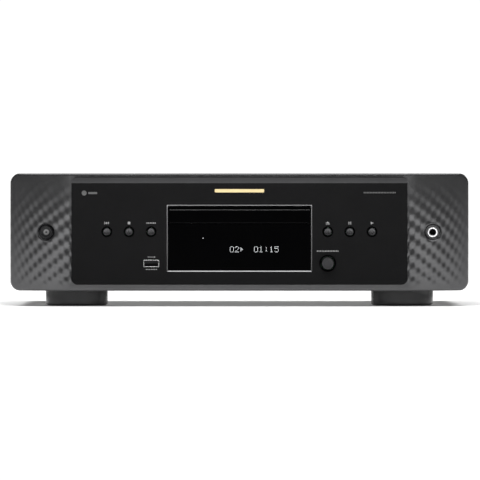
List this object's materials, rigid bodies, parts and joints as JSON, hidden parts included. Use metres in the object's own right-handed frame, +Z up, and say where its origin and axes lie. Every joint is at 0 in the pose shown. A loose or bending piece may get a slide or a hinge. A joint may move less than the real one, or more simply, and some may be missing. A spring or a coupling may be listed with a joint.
{
  "type": "cd player",
  "caption": "Full-width hi-fi disc player: curved patterned fascia, proud dark centre plate, sliding disc tray, round buttons, level knob, sockets and wide feet.",
  "frame": {"origin": "middle of the overall box, on the surface the feet stand on", "axes": "+X to the viewer's right, +Y from the front panel to the back, +Z up; the front faces -Y"},
  "size_m": [0.442, 0.42, 0.128],
  "materials": {
    "fascia_moulding": "satin",
    "front_panel_paint": "matte",
    "window_black": "gloss",
    "button_metal": "satin",
    "socket_metal": "polished",
    "case_paint": "matte",
    "plain_steel": "satin",
    "foot_plastic": "gloss",
    "inner_black_plastic": "matte",
    "inner_grey_plastic": "satin",
    "light_plastic": "satin",
    "board_green": "satin",
    "winding_copper": "satin",
    "belt_rubber": "matte",
    "gold_plating": "polished",
    "lens_glass": "polished"
  },
  "bodies": {
    "enclosure": {"analog_jack_left": "gold_plating", "analog_jack_right": "gold_plating", "audio_board": "board_green", "base_chassis": "plain_steel", "centre_plate": "front_panel_paint", "clamp_bridge": "plain_steel", "coax_jack": "gold_plating", "digital_output": "inner_grey_plastic", "display_module": "inner_grey_plastic", "display_window": "window_black", "drive_belt": "belt_rubber", "drive_cable": "light_plastic", "fascia": "fascia_moulding", "front_board": "board_green", "front_left_foot": "foot_plastic", "front_right_foot": "foot_plastic", "headphone_jack": "inner_grey_plastic", "headphone_jack_nut": "socket_metal", "level_control": "plain_steel", "loader_frame": "inner_black_plastic", "loading_motor": "plain_steel", "mains_inlet": "inner_black_plastic", "phones_socket_ring": "window_black", "power_board": "board_green", "power_button_ring": "window_black", "power_switch": "inner_grey_plastic", "rear_left_foot": "foot_plastic", "rear_panel": "case_paint", "rear_right_foot": "foot_plastic", "reservoir_capacitor_left": "inner_black_plastic", "reservoir_capacitor_right": "inner_black_plastic", "top_cover": "case_paint", "transformer_coil": "winding_copper", "transformer_core": "plain_steel", "tray_surround": "inner_black_plastic", "usb_shell": "socket_metal", "usb_tongue": "inner_black_plastic"},
    "tray": {"disc_tray": "inner_black_plastic", "tray_front": "window_black"},
    "tray_gear": {"tray_gear": "light_plastic"},
    "pulley_gear": {"pulley_gear": "light_plastic"},
    "motor_pulley": {"motor_pulley": "light_plastic"},
    "deck": {"deck_plate": "plain_steel", "spindle_motor": "plain_steel", "guide_rod_left": "plain_steel", "guide_rod_right": "plain_steel", "sled_motor": "plain_steel"},
    "turntable": {"turntable": "inner_black_plastic"},
    "pickup": {"optical_pickup": "inner_grey_plastic", "pickup_lens": "lens_glass"},
    "sled_gear": {"sled_gear": "light_plastic"},
    "clamper": {"clamper": "inner_grey_plastic"},
    "power_button": {"power_button": "inner_black_plastic"},
    "phones_level_knob": {"phones_level_knob": "inner_black_plastic"},
    "previous_button": {"previous_button": "button_metal"},
    "stop_button": {"stop_button": "button_metal"},
    "input_button": {"input_button": "button_metal"},
    "eject_button": {"eject_button": "button_metal"},
    "pause_button": {"pause_button": "button_metal"},
    "play_button": {"play_button": "button_metal"}
  },
  "joints": [
    {"name": "tray_slide", "type": "slide", "parent": "enclosure", "child": "tray", "axis": [0, -1, 0], "range_m": [0, 0.135]},
    {"name": "tray_gear_spin", "type": "hinge", "parent": "enclosure", "child": "tray_gear", "pos_m": [-0.046, -0.161, 0.076], "axis": [0, 0, 1], "continuous": true},
    {"name": "pulley_gear_spin", "type": "hinge", "parent": "enclosure", "child": "pulley_gear", "pos_m": [-0.0238, -0.1649, 0.074], "axis": [0, 0, 1], "continuous": true},
    {"name": "motor_pulley_spin", "type": "hinge", "parent": "enclosure", "child": "motor_pulley", "pos_m": [0.014, -0.165, 0.072], "axis": [0, 0, 1], "continuous": true},
    {"name": "deck_tilt", "type": "hinge", "parent": "enclosure", "child": "deck", "pos_m": [0, -0.022, 0.066], "axis": [1, 0, 0], "range_deg": [0, 4]},
    {"name": "spindle_spin", "type": "hinge", "parent": "deck", "child": "turntable", "pos_m": [0, -0.122, 0.0845], "axis": [0, 0, 1], "continuous": true},
    {"name": "clamper_spin", "type": "hinge", "parent": "enclosure", "child": "clamper", "pos_m": [0, -0.122, 0.096], "axis": [0, 0, 1], "continuous": true},
    {"name": "pickup_slide", "type": "slide", "parent": "deck", "child": "pickup", "axis": [0, 1, 0], "range_m": [0, 0.036]},
    {"name": "sled_gear_spin", "type": "hinge", "parent": "deck", "child": "sled_gear", "pos_m": [0.034, -0.072, 0.0745], "axis": [0, 0, 1], "continuous": true},
    {"name": "power_press", "type": "slide", "parent": "enclosure", "child": "power_button", "axis": [0, 1, 0], "range_m": [0, 0.003], "stiffness_N_per_m": 600},
    {"name": "phones_level_turn", "type": "hinge", "parent": "enclosure", "child": "phones_level_knob", "pos_m": [0.0847, -0.196, 0.0416], "axis": [0, 1, 0], "range_deg": [-150, 150]},
    {"name": "previous_press", "type": "slide", "parent": "enclosure", "child": "previous_button", "axis": [0, 1, 0], "range_m": [0, 0.001], "stiffness_N_per_m": 1200},
    {"name": "stop_press", "type": "slide", "parent": "enclosure", "child": "stop_button", "axis": [0, 1, 0], "range_m": [0, 0.001], "stiffness_N_per_m": 1200},
    {"name": "input_press", "type": "slide", "parent": "enclosure", "child": "input_button", "axis": [0, 1, 0], "range_m": [0, 0.001], "stiffness_N_per_m": 1200},
    {"name": "eject_press", "type": "slide", "parent": "enclosure", "child": "eject_button", "axis": [0, 1, 0], "range_m": [0, 0.001], "stiffness_N_per_m": 1200},
    {"name": "pause_press", "type": "slide", "parent": "enclosure", "child": "pause_button", "axis": [0, 1, 0], "range_m": [0, 0.001], "stiffness_N_per_m": 1200},
    {"name": "play_press", "type": "slide", "parent": "enclosure", "child": "play_button", "axis": [0, 1, 0], "range_m": [0, 0.001], "stiffness_N_per_m": 1200}
  ],
  "couplings": [
    {"joint": "tray_gear_spin", "follows": "tray_slide", "rad_per_m": 100},
    {"joint": "pulley_gear_spin", "follows": "tray_slide", "rad_per_m": -200},
    {"joint": "motor_pulley_spin", "follows": "tray_slide", "rad_per_m": -800},
    {"joint": "sled_gear_spin", "follows": "pickup_slide", "rad_per_m": -104.17},
    {"joint": "clamper_spin", "follows": "spindle_spin", "ratio": 1}
  ]
}
